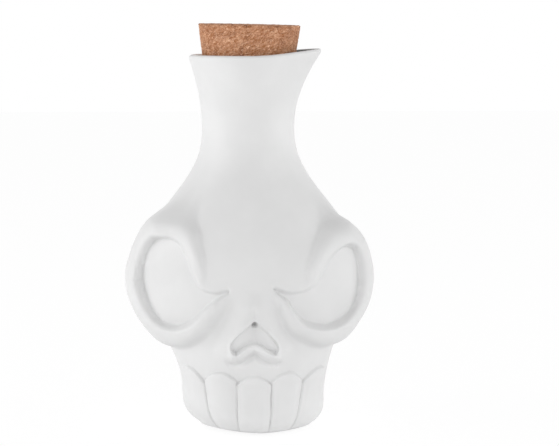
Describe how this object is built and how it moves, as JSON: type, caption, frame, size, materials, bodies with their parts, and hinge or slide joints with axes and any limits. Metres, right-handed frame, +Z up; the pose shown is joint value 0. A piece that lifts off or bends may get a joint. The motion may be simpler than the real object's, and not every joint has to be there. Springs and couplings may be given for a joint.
{
  "type": "decanter",
  "caption": "Hollow white ceramic decanter shaped as a stylised skull, with a flared neck, a pulled pouring lip and a lift-out tapered cork stopper.",
  "frame": {"origin": "centre of the overall box on the table, under the foot", "axes": "+Z up along the neck, -Y out of the face, +X towards the pouring lip"},
  "size_m": [0.124, 0.1064, 0.2015],
  "materials": {
    "stoneware": "fired, smooth and matt",
    "cork": "agglomerated cork, cut and sanded"
  },
  "bodies": {
    "bottle": {"skull_bottle": "stoneware"},
    "stopper": {"cork_stopper": "cork"}
  },
  "joints": [
    {"name": "stopper_lift", "type": "slide", "parent": "bottle", "child": "stopper", "axis": [0, 0, 1], "range_m": [0, 0.045]}
  ]
}
